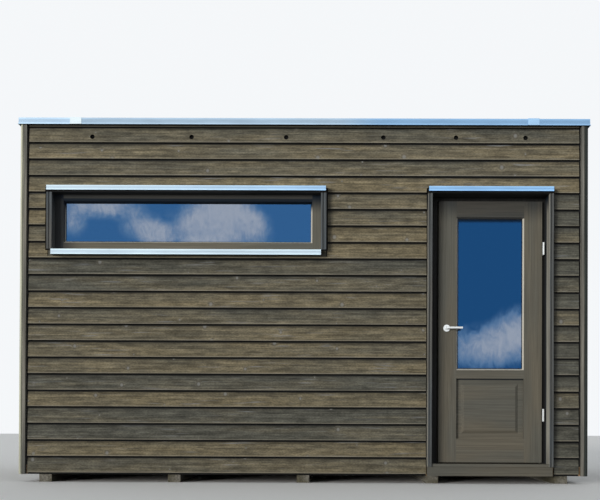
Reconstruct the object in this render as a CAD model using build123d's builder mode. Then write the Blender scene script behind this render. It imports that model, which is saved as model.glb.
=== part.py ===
from build123d import *
import os

# Outdoor sauna: a flat-roofed timber cabin on ground bearers, clad in lapped boards,
# with a ribbon window, an outward-opening glazed door and a metal roof edge.
# Millimetres. X runs along the front, Y into the cabin, Z up.
# The origin is on the ground under the middle of the cabin. The front faces -Y,
# so "out" in a name is a distance from the origin towards the front, along -Y.

# Body
body_width = 4290.0
body_depth = 2400.0
eaves_height = 2710.0

# Ground bearers and floor
bearer_count = 5
bearer_side_inset = 107.5
bearer_width = 95.0
bearer_height = 60.0
bearer_end_inset = 50.0
floor_thickness = 70.0

# Corner posts and walls
post_side = 50.0
post_chamfer = 14.0
post_reveal = 10.0
post_gap = 10.0
groove_width = 10.0
cladding_thickness = 25.0
wall_thickness = 115.0
ceiling_thickness = 180.0

# Ventilation holes in the top of the front cladding
vent_radius = 17.5
vent_drop = 96.0
vent_places = (-1603.0, -852.0, -136.0, 599.0, 1148.0, 1673.0)

# Roof and its metal edge
deck_overhang = 7.0
deck_thickness = 38.0
trim_sheet = 2.0
trim_flange = 60.0
trim_drop = 49.0
trim_lip_height = 12.0
trim_lip_kick = 4.0
cover_sheet = 3.0
cover_width = 86.0
cover_places = (-1722.0, 1729.0)
cover_flange = 45.0

# Casings round the window and the door
casing_projection = 48.0
casing_joint = 8.0
opening_head = 2232.0
head_board_height = 52.0
head_board_nose = 12.0
flashing_sheet = 3.0
flashing_drop = 36.0
flashing_fall = 4.0
flashing_kick = 4.0
flashing_crease = 1.5
flashing_inset = 3.0

# Window
window_end_margin = 215.0
window_clear_width = 2020.0
window_clear_height = 426.0
window_casing_thickness = 40.0
sill_height = 44.0
sill_lap = 2.0
window_frame_recess = 67.0
window_frame_depth = 80.0
window_stile_sight = 66.0
window_bottom_rail_sight = 63.0
window_top_rail_sight = 48.0
window_glass_recess = 32.0
window_bead_width = 11.0

# Glazing in the window and the door
glass_unit = 24.0
glazing_clearance = 3.0
bead_lip = 2.0
inner_bead_width = 12.0
inner_bead_depth = 10.0

# Door frame
door_end_margin = 270.0
door_casing_thickness = 30.0
door_frame_setback = 24.0
lock_reveal = 52.0
hinge_reveal = 24.0
lock_gap = 9.0
hinge_gap = 6.0
head_gap = 6.0
frame_head_height = 77.0
sill_gap = 9.0
threshold_height = 20.0
threshold_apron = 25.0
threshold_nose = 10.0
stop_gap = 6.0
stop_width = 20.0
stop_clearance = 0.5

# Door leaf
leaf_recess = 110.0
leaf_width = 788.0
leaf_thickness = 54.0
leaf_stile = 137.0
leaf_top_rail = 118.0
leaf_mid_rail = 65.0
leaf_mid_rail_foot = 638.0
leaf_bottom_rail = 180.0
leaf_glass_recess = 18.0
leaf_bead_width = 10.0
panel_recess = 24.0
panel_thickness = 18.0
panel_margin = 40.0
panel_bevel = 22.0
panel_raise = 12.0

# Hinges
barrel_radius = 8.0
barrel_length = 94.0
barrel_offset = 9.0
barrel_standoff = 1.0
barrel_inset = 361.0
knuckle_gap = 0.3
pin_radius = 4.0
pin_rise = 35.0
pin_clearance = 0.06
pin_end_clearance = 2.0
hinge_neck = 6.0
hinge_plate_thickness = 2.5
hinge_plate_depth = 38.0

# Door handle
handle_height = 1021.0
handle_inset = 62.0
rose_radius = 26.0
rose_thickness = 8.0
neck_radius = 8.0
neck_length = 38.0
lever_radius = 9.0
lever_length = 125.0

# Places worked out from the sizes above
half_width = body_width / 2
half_depth = body_depth / 2
floor_top = bearer_height + floor_thickness
clad_out = half_depth - post_reveal
wall_out = clad_out - cladding_thickness
room_out = wall_out - wall_thickness
side_clad_face = half_width - post_reveal
side_wall_face = side_clad_face - cladding_thickness
side_room_face = side_wall_face - wall_thickness
wall_end = half_width - post_side
clad_end = wall_end - post_gap
side_clad_end = half_depth - post_side - post_gap
deck_edge_x = half_width + deck_overhang
deck_edge_out = half_depth + deck_overhang
deck_top = eaves_height + deck_thickness
vent_height = eaves_height - vent_drop
bearer_reach = 2 * (side_wall_face - bearer_side_inset) - bearer_width

casing_out = clad_out + casing_projection
head_underside = opening_head - head_board_height
head_drip = opening_head - flashing_drop - flashing_kick
window_outer_left = window_end_margin - half_width
window_left = window_outer_left + window_casing_thickness
window_right = window_left + window_clear_width
window_outer_right = window_right + window_casing_thickness
window_sill_top = head_underside - window_clear_height
window_bottom = window_sill_top - sill_height
window_frame_out = casing_out - window_frame_recess

leaf_out = casing_out - leaf_recess
door_frame_out = leaf_out - door_frame_setback
door_outer_right = half_width - door_end_margin
door_clear_right = door_outer_right - door_casing_thickness
frame_right_edge = door_clear_right - hinge_reveal
leaf_right = frame_right_edge - hinge_gap
leaf_left = leaf_right - leaf_width
frame_left_edge = leaf_left - lock_gap
door_clear_left = frame_left_edge - lock_reveal
door_outer_left = door_clear_left - door_casing_thickness
threshold_top = floor_top + threshold_height
leaf_bottom = threshold_top + sill_gap
frame_head_edge = opening_head - frame_head_height
leaf_top = frame_head_edge - head_gap
leaf_back_out = leaf_out - leaf_thickness
leaf_middle_out = leaf_out - leaf_thickness / 2
hinge_x = leaf_right + barrel_offset
hinge_out = leaf_out + barrel_radius + barrel_standoff
hinge_heights = (leaf_bottom + barrel_inset, leaf_top - barrel_inset)
half_barrel = (barrel_length - knuckle_gap) / 2


def block(x_low, x_high, y_low, y_high, mode=Mode.ADD):
    """Adds to the open sketch a rectangle between two limits each way, or takes it away."""
    with Locations(((x_low + x_high) / 2, (y_low + y_high) / 2)):
        Rectangle(x_high - x_low, y_high - y_low, mode=mode)


def elevation(out):
    """The upright plane at a distance towards the front: sketch X is X, sketch Y is Z."""
    return Plane.XZ.offset(out)


# Ground bearers, laid from front to back
with BuildPart() as ground_bearers:
    with BuildSketch(Plane.XY):
        with GridLocations(bearer_reach / (bearer_count - 1), 0, bearer_count, 1):
            Rectangle(bearer_width, 2 * (half_depth - bearer_end_inset))
    extrude(amount=bearer_height)
ground_bearers.part.label = "ground_bearers"

# Insulated floor, notched round the corner posts
with BuildPart() as floor_deck:
    with BuildSketch(Plane.XY.offset(bearer_height)):
        Rectangle(2 * side_wall_face, 2 * wall_out)
        with GridLocations(2 * half_width - post_side, 2 * half_depth - post_side, 2, 2):
            Rectangle(post_side, post_side, mode=Mode.SUBTRACT)
    extrude(amount=floor_thickness)
floor_deck.part.label = "floor_deck"

# Front wall, in panels round the window and the doorway
front_wall_panels = {
    "front_wall_left": (-wall_end, window_outer_left, floor_top, opening_head),
    "front_wall_under_window": (window_outer_left, window_outer_right, floor_top, window_bottom),
    "front_wall_middle": (window_outer_right, door_outer_left, floor_top, opening_head),
    "front_wall_right": (door_outer_right, wall_end, floor_top, opening_head),
    "front_wall_top": (-wall_end, wall_end, opening_head, eaves_height),
}
front_wall = []
for panel_name, panel_limits in front_wall_panels.items():
    with BuildPart() as wall_panel:
        with BuildSketch(elevation(wall_out)):
            block(*panel_limits)
        extrude(amount=-wall_thickness)
    wall_panel.part.label = panel_name
    front_wall.append(wall_panel)

with BuildPart() as back_wall:
    with BuildSketch(elevation(-wall_out)):
        block(-wall_end, wall_end, floor_top, eaves_height)
    extrude(amount=wall_thickness)
back_wall.part.label = "back_wall"

side_walls = []
for side_name, side in (("left", -1), ("right", 1)):
    with BuildPart() as side_wall:
        with BuildSketch(Plane.YZ.offset(side * side_wall_face)):
            block(-room_out, room_out, floor_top, eaves_height)
        extrude(amount=-side * wall_thickness)
    side_wall.part.label = side_name + "_wall"
    side_walls.append(side_wall)

with BuildPart() as ceiling_panel:
    with BuildSketch(Plane.XY.offset(eaves_height)):
        Rectangle(2 * side_room_face, 2 * room_out)
    extrude(amount=-ceiling_thickness)
ceiling_panel.part.label = "ceiling_panel"

# Cladding: one sheet of lapped boards on each stretch of wall, with an open joint
# beside the casings
casing_joints = (
    (
        window_outer_left - casing_joint,
        window_outer_right + casing_joint,
        window_bottom,
        opening_head,
    ),
    (door_outer_left - casing_joint, door_outer_right + casing_joint, 0, opening_head),
)
front_cladding_sheets = {
    "front_cladding_left": (-clad_end, window_outer_left, bearer_height, opening_head),
    "front_cladding_under_window": (
        window_outer_left,
        window_outer_right,
        bearer_height,
        window_bottom,
    ),
    "front_cladding_middle": (window_outer_right, door_outer_left, bearer_height, opening_head),
    "front_cladding_right": (door_outer_right, clad_end, bearer_height, opening_head),
}
front_cladding = []
for sheet_name, sheet_limits in front_cladding_sheets.items():
    with BuildPart() as cladding_sheet:
        with BuildSketch(elevation(wall_out)):
            block(*sheet_limits)
            for joint_limits in casing_joints:
                block(*joint_limits, mode=Mode.SUBTRACT)
        extrude(amount=cladding_thickness)
    cladding_sheet.part.label = sheet_name
    front_cladding.append(cladding_sheet)

with BuildPart() as front_cladding_top:
    with BuildSketch(elevation(wall_out)):
        block(-clad_end, clad_end, opening_head, eaves_height)
        with Locations(*[(vent_x, vent_height) for vent_x in vent_places]):
            Circle(vent_radius, mode=Mode.SUBTRACT)
    extrude(amount=cladding_thickness)
front_cladding_top.part.label = "front_cladding_top"

with BuildPart() as back_cladding:
    with BuildSketch(elevation(-wall_out)):
        block(-clad_end, clad_end, bearer_height, eaves_height)
    extrude(amount=-cladding_thickness)
back_cladding.part.label = "back_cladding"

side_cladding = []
for side_name, side in (("left", -1), ("right", 1)):
    with BuildPart() as side_sheet:
        with BuildSketch(Plane.YZ.offset(side * side_wall_face)):
            block(-side_clad_end, side_clad_end, bearer_height, eaves_height)
        extrude(amount=side * cladding_thickness)
    side_sheet.part.label = side_name + "_cladding"
    side_cladding.append(side_sheet)

# Corner posts: chamfered on the outer corner, with a groove down each outer face
with BuildPart() as corner_posts:
    with BuildSketch(Plane.XY.offset(bearer_height)):
        block(wall_end, half_width, -half_depth, post_side - half_depth)
        outer_corner = vertices().sort_by(Axis.Y)[:2].sort_by(Axis.X)[-1]
        chamfer(outer_corner, length=post_chamfer)
        with Locations(
            (half_width - post_side / 2, -half_depth),
            (half_width, post_side / 2 - half_depth),
        ):
            Rectangle(groove_width, groove_width, rotation=45, mode=Mode.SUBTRACT)
    extrude(amount=eaves_height - bearer_height)
    mirror(about=Plane.YZ)
    mirror(about=Plane.XZ)
corner_posts.part.label = "corner_posts"

# Roof deck and the membrane laid on it, inside the metal edge
with BuildPart() as roof_deck:
    with BuildSketch(Plane.XY.offset(eaves_height)):
        Rectangle(2 * deck_edge_x, 2 * deck_edge_out)
    extrude(amount=deck_thickness)
roof_deck.part.label = "roof_deck"

with BuildPart() as roof_membrane:
    with BuildSketch(Plane.XY.offset(deck_top)):
        Rectangle(2 * (deck_edge_x - trim_flange), 2 * (deck_edge_out - trim_flange))
    extrude(amount=trim_sheet)
roof_membrane.part.label = "roof_membrane"

# Section of the roof edge, from the deck's edge outwards and from its top downwards:
# a flange on the deck, a face down past the eaves and a lip kicked out as a drip.
lip_top = trim_sheet - trim_drop + trim_lip_height
lip_bottom = trim_sheet - trim_drop
trim_section = (
    (-trim_flange, 0),
    (-trim_flange, trim_sheet),
    (trim_sheet, trim_sheet),
    (trim_sheet, lip_top),
    (trim_sheet + trim_lip_kick, lip_bottom),
    (trim_lip_kick, lip_bottom),
    (0, lip_top),
    (0, 0),
)
cover_section = (
    (-cover_flange, trim_sheet),
    (-cover_flange, trim_sheet + cover_sheet),
    (trim_sheet + cover_sheet, trim_sheet + cover_sheet),
    (trim_sheet + cover_sheet, lip_top),
    (trim_sheet + cover_sheet + trim_lip_kick, lip_bottom),
    (trim_sheet + trim_lip_kick, lip_bottom),
    (trim_sheet, lip_top),
    (trim_sheet, trim_sheet),
)


def edge_points(section, edge, side):
    """Places a roof edge section at the deck's edge on one side of the cabin."""
    return [(side * (edge + out), deck_top + up) for out, up in section]


# The four roof edges, mitred where they meet
roof_trims = []
for trim_name, side in (("roof_trim_front", -1), ("roof_trim_back", 1)):
    with BuildPart() as long_trim:
        with BuildSketch(Plane.YZ):
            Polygon(*edge_points(trim_section, deck_edge_out, side), align=None)
        extrude(amount=half_width + body_depth, both=True)
        for end in (-1, 1):
            mitre = Plane(origin=(end * deck_edge_x, side * deck_edge_out, 0), z_dir=(end, -side, 0))
            split(bisect_by=mitre, keep=Keep.BOTTOM)
    long_trim.part.label = trim_name
    roof_trims.append(long_trim)

for trim_name, side in (("roof_trim_left", -1), ("roof_trim_right", 1)):
    with BuildPart() as short_trim:
        with BuildSketch(Plane.XZ):
            Polygon(*edge_points(trim_section, deck_edge_x, side), align=None)
        extrude(amount=half_depth + body_depth, both=True)
        for end in (-1, 1):
            mitre = Plane(origin=(side * deck_edge_x, end * deck_edge_out, 0), z_dir=(-side, end, 0))
            split(bisect_by=mitre, keep=Keep.BOTTOM)
    short_trim.part.label = trim_name
    roof_trims.append(short_trim)

# Covers clipped over the joints in the long roof edges
with BuildPart() as trim_joint_covers:
    for cover_x in cover_places:
        for side in (-1, 1):
            with BuildSketch(Plane.YZ.offset(cover_x - cover_width / 2)):
                Polygon(*edge_points(cover_section, deck_edge_out, side), align=None)
            extrude(amount=cover_width)
trim_joint_covers.part.label = "trim_joint_covers"


def head_board_points(frame_out):
    """Section of a head board: a nose under the flashing and a set-back foot."""
    nose_out = casing_out + head_board_nose
    nose_top = opening_head - flashing_sheet - flashing_fall
    return (
        (-frame_out, head_underside),
        (-casing_out, head_underside),
        (-casing_out, opening_head - flashing_drop),
        (-nose_out, opening_head - flashing_drop),
        (-nose_out, nose_top),
        (-clad_out, nose_top + flashing_fall),
        (-clad_out, opening_head),
        (-frame_out, opening_head),
    )


def flashing_points(top, bottom):
    """Section of a flashing: a falling top, a creased face and a kicked-out drip."""
    back = casing_out + head_board_nose
    face = back + flashing_sheet
    middle = (top + bottom) / 2
    return (
        (-clad_out, top - flashing_sheet),
        (-clad_out, top),
        (-face, top - flashing_fall),
        (-face, middle + flashing_crease),
        (flashing_crease - face, middle),
        (-face, middle - flashing_crease),
        (-face, bottom + flashing_kick),
        (-face - flashing_kick, bottom),
        (-back - flashing_kick, bottom),
        (-back, bottom + flashing_kick),
        (-back, top - flashing_fall - flashing_sheet),
    )


# Window casing: two jambs between a sill and a head board
with BuildPart() as window_casing_jambs:
    with BuildSketch(Plane.XY.offset(window_sill_top)):
        block(window_outer_left, window_left, -casing_out, -window_frame_out)
        block(window_right, window_outer_right, -casing_out, -window_frame_out)
        with Locations(
            (window_left - window_casing_thickness / 2, -casing_out),
            (window_right + window_casing_thickness / 2, -casing_out),
        ):
            Rectangle(groove_width, groove_width, rotation=45, mode=Mode.SUBTRACT)
    extrude(amount=head_underside - window_sill_top)
window_casing_jambs.part.label = "window_casing_jambs"

with BuildPart() as window_head_board:
    with BuildSketch(Plane.YZ.offset(window_outer_left)):
        Polygon(*head_board_points(window_frame_out), align=None)
    extrude(amount=window_outer_right - window_outer_left)
window_head_board.part.label = "window_head_board"

sill_nose_out = casing_out + head_board_nose
sill_nose_top = window_sill_top - flashing_sheet
with BuildPart() as window_sill_board:
    with BuildSketch(Plane.YZ.offset(window_outer_left)):
        block(-clad_out, -window_frame_out, window_bottom, window_sill_top)
    extrude(amount=window_outer_right - window_outer_left)
    with BuildSketch(Plane.YZ.offset(window_left - sill_lap)):
        Polygon(
            (-clad_out, window_bottom),
            (-sill_nose_out, window_bottom + flashing_kick),
            (-sill_nose_out, sill_nose_top - flashing_fall),
            (-clad_out, sill_nose_top),
            align=None,
        )
    extrude(amount=window_clear_width + 2 * sill_lap)
window_sill_board.part.label = "window_sill_board"

with BuildPart() as window_flashings:
    with BuildSketch(Plane.YZ.offset(window_outer_left + flashing_inset)):
        Polygon(*flashing_points(opening_head, head_drip), align=None)
    extrude(amount=window_outer_right - window_outer_left - 2 * flashing_inset)
    with BuildSketch(Plane.YZ.offset(window_left - sill_lap)):
        Polygon(*flashing_points(window_sill_top, window_bottom), align=None)
    extrude(amount=window_clear_width + 2 * sill_lap)
window_flashings.part.label = "window_flashings"

# Window frame: upright stiles outside, rails between them
window_glass_left = window_left + window_stile_sight
window_glass_right = window_right - window_stile_sight
window_glass_bottom = window_sill_top + window_bottom_rail_sight
window_glass_top = head_underside - window_top_rail_sight

with BuildPart() as window_frame_stiles:
    with BuildSketch(elevation(window_frame_out)):
        block(window_outer_left, window_glass_left, window_bottom, opening_head)
        block(window_glass_right, window_outer_right, window_bottom, opening_head)
    extrude(amount=-window_frame_depth)
window_frame_stiles.part.label = "window_frame_stiles"

with BuildPart() as window_frame_rails:
    with BuildSketch(elevation(window_frame_out)):
        block(window_glass_left, window_glass_right, window_bottom, window_glass_bottom)
        block(window_glass_left, window_glass_right, window_glass_top, opening_head)
    extrude(amount=-window_frame_depth)
window_frame_rails.part.label = "window_frame_rails"

window_glass_out = window_frame_out - window_glass_recess
with BuildPart() as window_glass:
    with BuildSketch(elevation(window_glass_out)):
        block(
            window_glass_left + glazing_clearance,
            window_glass_right - glazing_clearance,
            window_glass_bottom + glazing_clearance,
            window_glass_top - glazing_clearance,
        )
    extrude(amount=-glass_unit)
window_glass.part.label = "window_glass"


def glazing_beads(limits, glass_out, rise, width):
    """A bevelled ring in front of the glass and a square one behind it."""
    left, right, bottom, top = limits
    with BuildPart() as beads:
        with BuildSketch(elevation(glass_out)):
            block(left, right, bottom, top)
        extrude(amount=rise)
        for out, inset in ((glass_out, width), (glass_out + rise, bead_lip)):
            with BuildSketch(elevation(out)):
                block(left + inset, right - inset, bottom + inset, top - inset)
        loft(mode=Mode.SUBTRACT)
        with BuildSketch(elevation(glass_out - glass_unit)):
            block(left, right, bottom, top)
        extrude(amount=-inner_bead_depth)
        with BuildSketch(elevation(glass_out - glass_unit)):
            block(
                left + inner_bead_width,
                right - inner_bead_width,
                bottom + inner_bead_width,
                top - inner_bead_width,
            )
        extrude(amount=-inner_bead_depth, mode=Mode.SUBTRACT)
    return beads


window_beads = glazing_beads(
    (window_glass_left, window_glass_right, window_glass_bottom, window_glass_top),
    window_glass_out,
    window_glass_recess - bead_lip,
    window_bead_width,
)
window_beads.part.label = "window_beads"

# Door casing: two jambs and a head board
with BuildPart() as door_casing_jambs:
    with BuildSketch(Plane.XY.offset(floor_top)):
        block(door_outer_left, door_clear_left, -casing_out, -door_frame_out)
        block(door_clear_right, door_outer_right, -casing_out, -door_frame_out)
        with Locations(
            (door_clear_left - door_casing_thickness / 2, -casing_out),
            (door_clear_right + door_casing_thickness / 2, -casing_out),
        ):
            Rectangle(groove_width, groove_width, rotation=45, mode=Mode.SUBTRACT)
    extrude(amount=head_underside - floor_top)
door_casing_jambs.part.label = "door_casing_jambs"

with BuildPart() as door_head_board:
    with BuildSketch(Plane.YZ.offset(door_outer_left)):
        Polygon(*head_board_points(door_frame_out), align=None)
    extrude(amount=door_outer_right - door_outer_left)
door_head_board.part.label = "door_head_board"

with BuildPart() as door_head_flashing:
    with BuildSketch(Plane.YZ.offset(door_outer_left + flashing_inset)):
        Polygon(*flashing_points(opening_head, head_drip), align=None)
    extrude(amount=door_outer_right - door_outer_left - 2 * flashing_inset)
door_head_flashing.part.label = "door_head_flashing"


def hinge_plate(edge, side, timber_out):
    """Section of a hinge plate let into the edge of the leaf or of the frame post."""
    x_low, x_high = sorted((edge, edge + side * hinge_plate_thickness))
    block(x_low, x_high, -timber_out, hinge_plate_depth - timber_out)


# Door frame: posts on both sides, the right one with seats for the hinge plates, a head
# between them, a threshold and stops
with BuildPart() as door_frame_posts:
    with BuildSketch(elevation(door_frame_out)):
        block(door_outer_left, frame_left_edge, floor_top, opening_head)
        block(frame_right_edge, door_outer_right, floor_top, opening_head)
    extrude(amount=room_out - door_frame_out)
    for hinge_height in hinge_heights:
        with BuildSketch(Plane.XY.offset(hinge_height - barrel_length / 2)):
            hinge_plate(frame_right_edge, 1, door_frame_out)
        extrude(amount=half_barrel, mode=Mode.SUBTRACT)
door_frame_posts.part.label = "door_frame_posts"

with BuildPart() as door_frame_head:
    with BuildSketch(elevation(door_frame_out)):
        block(frame_left_edge, frame_right_edge, frame_head_edge, opening_head)
    extrude(amount=room_out - door_frame_out)
door_frame_head.part.label = "door_frame_head"

# The threshold: a board between the jambs and a narrower one between the posts,
# with an apron that closes the cladding below the doorway.
apron_out = clad_out + threshold_apron
with BuildPart() as door_threshold:
    with BuildSketch(elevation(wall_out)):
        block(door_outer_left, door_outer_right, bearer_height, floor_top)
    extrude(amount=apron_out - wall_out)
    with BuildSketch(Plane.XY.offset(floor_top)):
        block(door_clear_left, door_clear_right, -apron_out - threshold_nose, -door_frame_out)
        block(frame_left_edge, frame_right_edge, -door_frame_out, -room_out)
    extrude(amount=threshold_height)
door_threshold.part.label = "door_threshold"

stop_out = leaf_back_out - stop_gap
with BuildPart() as door_stops:
    with BuildSketch(elevation(stop_out)):
        block(frame_left_edge, frame_left_edge + stop_width, threshold_top, frame_head_edge)
        block(frame_right_edge - stop_width, frame_right_edge, threshold_top, frame_head_edge)
        block(
            frame_left_edge + stop_width + stop_clearance,
            frame_right_edge - stop_width - stop_clearance,
            frame_head_edge - stop_width,
            frame_head_edge,
        )
    extrude(amount=room_out - stop_out)
door_stops.part.label = "door_stops"

# Door leaf: stiles, the right one with seats for the hinge plates, rails, a fielded lower
# panel and a glazed upper light
mid_rail_bottom = leaf_bottom + leaf_mid_rail_foot
mid_rail_top = mid_rail_bottom + leaf_mid_rail
top_rail_bottom = leaf_top - leaf_top_rail
bottom_rail_top = leaf_bottom + leaf_bottom_rail
light_left = leaf_left + leaf_stile
light_right = leaf_right - leaf_stile

with BuildPart() as door_stiles:
    with BuildSketch(elevation(leaf_out)):
        block(leaf_left, light_left, leaf_bottom, leaf_top)
        block(light_right, leaf_right, leaf_bottom, leaf_top)
    extrude(amount=-leaf_thickness)
    for hinge_height in hinge_heights:
        with BuildSketch(Plane.XY.offset(hinge_height + knuckle_gap / 2)):
            hinge_plate(leaf_right, -1, leaf_out)
        extrude(amount=half_barrel, mode=Mode.SUBTRACT)
door_stiles.part.label = "door_stiles"

with BuildPart() as door_rails:
    with BuildSketch(elevation(leaf_out)):
        block(light_left, light_right, leaf_bottom, bottom_rail_top)
        block(light_left, light_right, mid_rail_bottom, mid_rail_top)
        block(light_left, light_right, top_rail_bottom, leaf_top)
    extrude(amount=-leaf_thickness)
door_rails.part.label = "door_rails"

panel_out = leaf_out - panel_recess
with BuildPart() as door_lower_panel:
    with BuildSketch(elevation(panel_out)):
        block(light_left, light_right, bottom_rail_top, mid_rail_bottom)
    extrude(amount=-panel_thickness)
    for margin, raised in ((panel_margin, 0), (panel_margin + panel_bevel, panel_raise)):
        with BuildSketch(elevation(panel_out + raised)):
            block(
                light_left + margin,
                light_right - margin,
                bottom_rail_top + margin,
                mid_rail_bottom - margin,
            )
    loft()
door_lower_panel.part.label = "door_lower_panel"

leaf_glass_out = leaf_out - leaf_glass_recess
with BuildPart() as door_glass:
    with BuildSketch(elevation(leaf_glass_out)):
        block(
            light_left + glazing_clearance,
            light_right - glazing_clearance,
            mid_rail_top + glazing_clearance,
            top_rail_bottom - glazing_clearance,
        )
    extrude(amount=-glass_unit)
door_glass.part.label = "door_glass"

door_beads = glazing_beads(
    (light_left, light_right, mid_rail_top, top_rail_bottom),
    leaf_glass_out,
    leaf_glass_recess - bead_lip,
    leaf_bead_width,
)
door_beads.part.label = "door_beads"

# Barrel hinges: the lower half with its pin is let into the frame post, the upper half
# drops over the pin and is let into the edge of the leaf.
with BuildPart() as hinge_pins:
    for hinge_height in hinge_heights:
        with BuildSketch(Plane.XY.offset(hinge_height - barrel_length / 2)):
            with Locations((hinge_x, -hinge_out)):
                Circle(barrel_radius)
            block(frame_right_edge, frame_right_edge + hinge_neck, -hinge_out, -door_frame_out)
            hinge_plate(frame_right_edge, 1, door_frame_out)
        extrude(amount=half_barrel)
        with BuildSketch(Plane.XY.offset(hinge_height - knuckle_gap)):
            with Locations((hinge_x, -hinge_out)):
                Circle(pin_radius)
        extrude(amount=knuckle_gap + pin_rise)
hinge_pins.part.label = "hinge_pins"

with BuildPart() as hinge_knuckles:
    for hinge_height in hinge_heights:
        with BuildSketch(Plane.XY.offset(hinge_height + knuckle_gap / 2)):
            with Locations((hinge_x, -hinge_out)):
                Circle(barrel_radius)
            block(leaf_right - hinge_plate_thickness, hinge_x, -leaf_out - hinge_neck, -leaf_out)
            hinge_plate(leaf_right, -1, leaf_out)
            with Locations((hinge_x, -hinge_out)):
                Circle(pin_radius + pin_clearance, mode=Mode.SUBTRACT)
        extrude(amount=half_barrel)
        with BuildSketch(Plane.XY.offset(hinge_height + pin_rise + pin_end_clearance)):
            with Locations((hinge_x, -hinge_out)):
                Circle(pin_radius + pin_clearance)
        extrude(amount=barrel_length / 2 - pin_rise - pin_end_clearance)
hinge_knuckles.part.label = "hinge_knuckles"

# Lever handles, one on each face of the leaf
with BuildPart() as door_handles:
    handle_x = leaf_left + handle_inset
    handle_z = leaf_bottom + handle_height
    with BuildSketch(elevation(leaf_out)):
        with Locations((handle_x, handle_z)):
            Circle(rose_radius)
    extrude(amount=rose_thickness)
    with BuildSketch(elevation(leaf_out + rose_thickness)):
        with Locations((handle_x, handle_z)):
            Circle(neck_radius)
    extrude(amount=neck_length)
    lever_out = leaf_out + rose_thickness + neck_length - neck_radius
    with BuildSketch(Plane.YZ.offset(handle_x - neck_radius)):
        with Locations((-lever_out, handle_z)):
            Circle(lever_radius)
    extrude(amount=lever_length)
    mirror(about=elevation(leaf_middle_out))
door_handles.part.label = "door_handles"

pieces = (
    [ground_bearers, floor_deck, back_wall, ceiling_panel, front_cladding_top, back_cladding]
    + front_wall
    + side_walls
    + front_cladding
    + side_cladding
    + [corner_posts, roof_deck, roof_membrane, trim_joint_covers]
    + roof_trims
    + [window_casing_jambs, window_head_board, window_sill_board, window_flashings]
    + [window_frame_stiles, window_frame_rails, window_glass, window_beads]
    + [door_casing_jambs, door_head_board, door_head_flashing]
    + [door_frame_posts, door_frame_head, door_threshold, door_stops, hinge_pins]
    + [door_stiles, door_rails, door_lower_panel, door_glass, door_beads]
    + [hinge_knuckles, door_handles]
)
os.makedirs("parts", exist_ok=True)
for piece in pieces:
    export_step(piece.part, f"parts/{piece.part.label}.step")
print(len(pieces), "pieces written")
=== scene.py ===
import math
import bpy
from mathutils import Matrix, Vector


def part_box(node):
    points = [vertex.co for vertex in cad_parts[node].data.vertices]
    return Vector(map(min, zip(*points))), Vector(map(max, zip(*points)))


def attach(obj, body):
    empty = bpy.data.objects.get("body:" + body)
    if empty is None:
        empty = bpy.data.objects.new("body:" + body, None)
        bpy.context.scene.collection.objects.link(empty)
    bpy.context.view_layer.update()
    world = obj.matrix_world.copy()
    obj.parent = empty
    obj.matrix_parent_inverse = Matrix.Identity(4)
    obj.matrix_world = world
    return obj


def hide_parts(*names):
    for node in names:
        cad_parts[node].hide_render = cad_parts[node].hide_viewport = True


bl_info = {
    "name": "Outdoor sauna finishes",
    "version": (1, 0, 0),
    "blender": (4, 5, 0),
    "location": "3D View > Sidebar > Sauna",
    "description": "Boards, metal edges, glass, door furniture and lining of a timber sauna cabin",
    "category": "Object",
}

import bpy
import numpy as np
from bpy.props import FloatProperty, FloatVectorProperty, PointerProperty
from mathutils import Matrix, Vector

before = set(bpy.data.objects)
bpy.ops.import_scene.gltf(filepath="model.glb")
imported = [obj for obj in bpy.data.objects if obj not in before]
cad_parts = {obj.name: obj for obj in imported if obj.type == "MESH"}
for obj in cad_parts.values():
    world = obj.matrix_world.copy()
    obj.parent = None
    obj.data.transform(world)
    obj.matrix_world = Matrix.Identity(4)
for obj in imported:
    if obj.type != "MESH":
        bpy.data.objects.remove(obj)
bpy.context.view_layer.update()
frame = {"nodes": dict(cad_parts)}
CABIN = "cabin"
DOOR = "door"
MM = 0.001
SHARP = math.radians(35)
LEFT, RIGHT, BACK, DOWN, UP = np.array(((-1, 0, 0), (1, 0, 0), (0, 1, 0), (0, 0, -1), (0, 0, 1)), float)

# Boards: where their random tones start, and how much browner or greyer than the rest the segments
# to the left of the window, between it and the door and beside the door are
TONE_START = 53052
TONE_SHIFTS = (0.0, 0.0, 0.25, -0.85)

# Contrast, roughness and fineness of streaks in planed timber and in the smooth glazing beads
PLANED = (0.6, 0.62, 130.0)
SMOOTH = (0.5, 0.6, 130.0)

# Timber set back behind the casings: places along Y between which its painted shade begins and
# ends at the front and at the back, the root of the casings' sides, and the colour of painted deep shade
SHADE_FRONT = (-1.222, -1.19)
SHADE_BACK = (-1.08, -1.10)
JAMB_ROOT = (-1.150, -1.138)
DEEP_SHADE = (0.006, 0.010, 0.016)

# Metal: places along X between which its painted reflection of the sky turns from pale to blue, on
# flashings and on the roof edge, and heights between which that starts to show
FLASHING_TURN = (-2.1, 1.2)
ROOF_EDGE_TURN = (0.2, 0.6)
TURN_HEIGHTS = (1.75, 2.15)

# Pale patches in the glass, a painted reflection of clouds: centre across and up, half width, half height,
# how pale
WINDOW_CLOUDS = (
    (-1.50, 2.10, 0.34, 0.12, 1.10),
    (-1.76, 2.02, 0.14, 0.20, 0.80),
    (-1.25, 1.95, 0.20, 0.15, 0.85),
    (-1.12, 1.88, 0.18, 0.15, 0.85),
    (-0.93, 1.92, 0.26, 0.24, 0.55),
    (-0.66, 1.98, 0.33, 0.55, 1.35),
    (-0.42, 2.00, 0.13, 0.16, 0.60),
    (-0.33, 1.91, 0.13, 0.19, 0.75),
)
DOOR_CLOUDS = ((1.69, 1.20, 0.30, 0.20, 0.75), (1.42, 1.04, 0.42, 0.22, 0.95))


# Settings


def number(name, description, default, kind=FloatProperty, **more):
    """A number, or a vector of them, that a user may change."""
    return kind(name=name, description=description, default=default, **more)


def length(name, description, default):
    """A length in metres that a user may change."""
    return number(name, description, default, unit="LENGTH", precision=4)


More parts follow.
